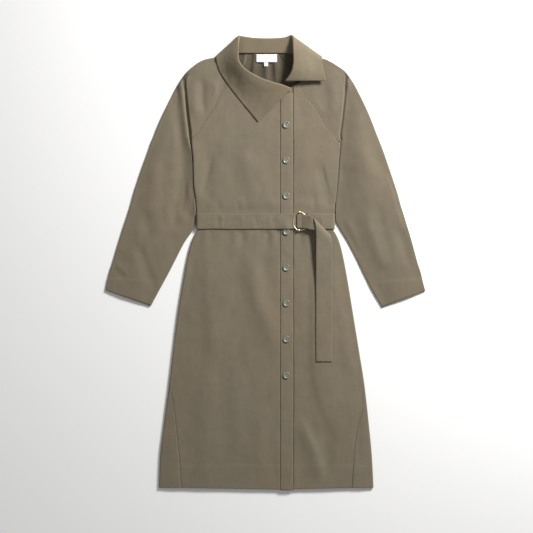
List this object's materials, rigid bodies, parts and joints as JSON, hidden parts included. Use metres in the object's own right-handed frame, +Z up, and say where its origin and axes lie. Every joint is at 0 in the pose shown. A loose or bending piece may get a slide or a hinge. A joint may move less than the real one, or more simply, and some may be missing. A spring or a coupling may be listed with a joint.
{
  "type": "shirt dress",
  "caption": "Belted midi shirt dress with raglan sleeves, pointed collar and button placket, laid flat on its back with the belt drawn through a ring.",
  "frame": {"origin": "centre of the bounding box's underside, on the surface that the dress lies on", "axes": "+Y from hem to collar, +X towards the wearer's left, +Z up from the surface through the front"},
  "size_m": [0.865, 1.2312, 0.0269],
  "materials": {
    "gabardine": "matt, with a faint diagonal twill",
    "brass": "polished",
    "pearl_button": "pearly gloss",
    "label_tape": "woven tape, bare"
  },
  "bodies": {
    "root": {"front_right": "gabardine", "front_left": "gabardine", "back": "gabardine", "sleeve_right": "gabardine", "sleeve_left": "gabardine", "placket": "gabardine", "collar": "gabardine", "belt": "gabardine", "belt_tail": "gabardine", "buckle_arc_1": "brass", "buckle_arc_2": "brass", "buckle_bead_1": "brass", "buckle_bead_2": "brass", "button_1": "pearl_button", "button_2": "pearl_button", "button_3": "pearl_button", "button_4": "pearl_button", "button_5": "pearl_button", "button_6": "pearl_button", "button_7": "pearl_button", "button_8": "pearl_button", "neck_label": "label_tape", "size_tab": "label_tape"}
  },
  "joints": []
}
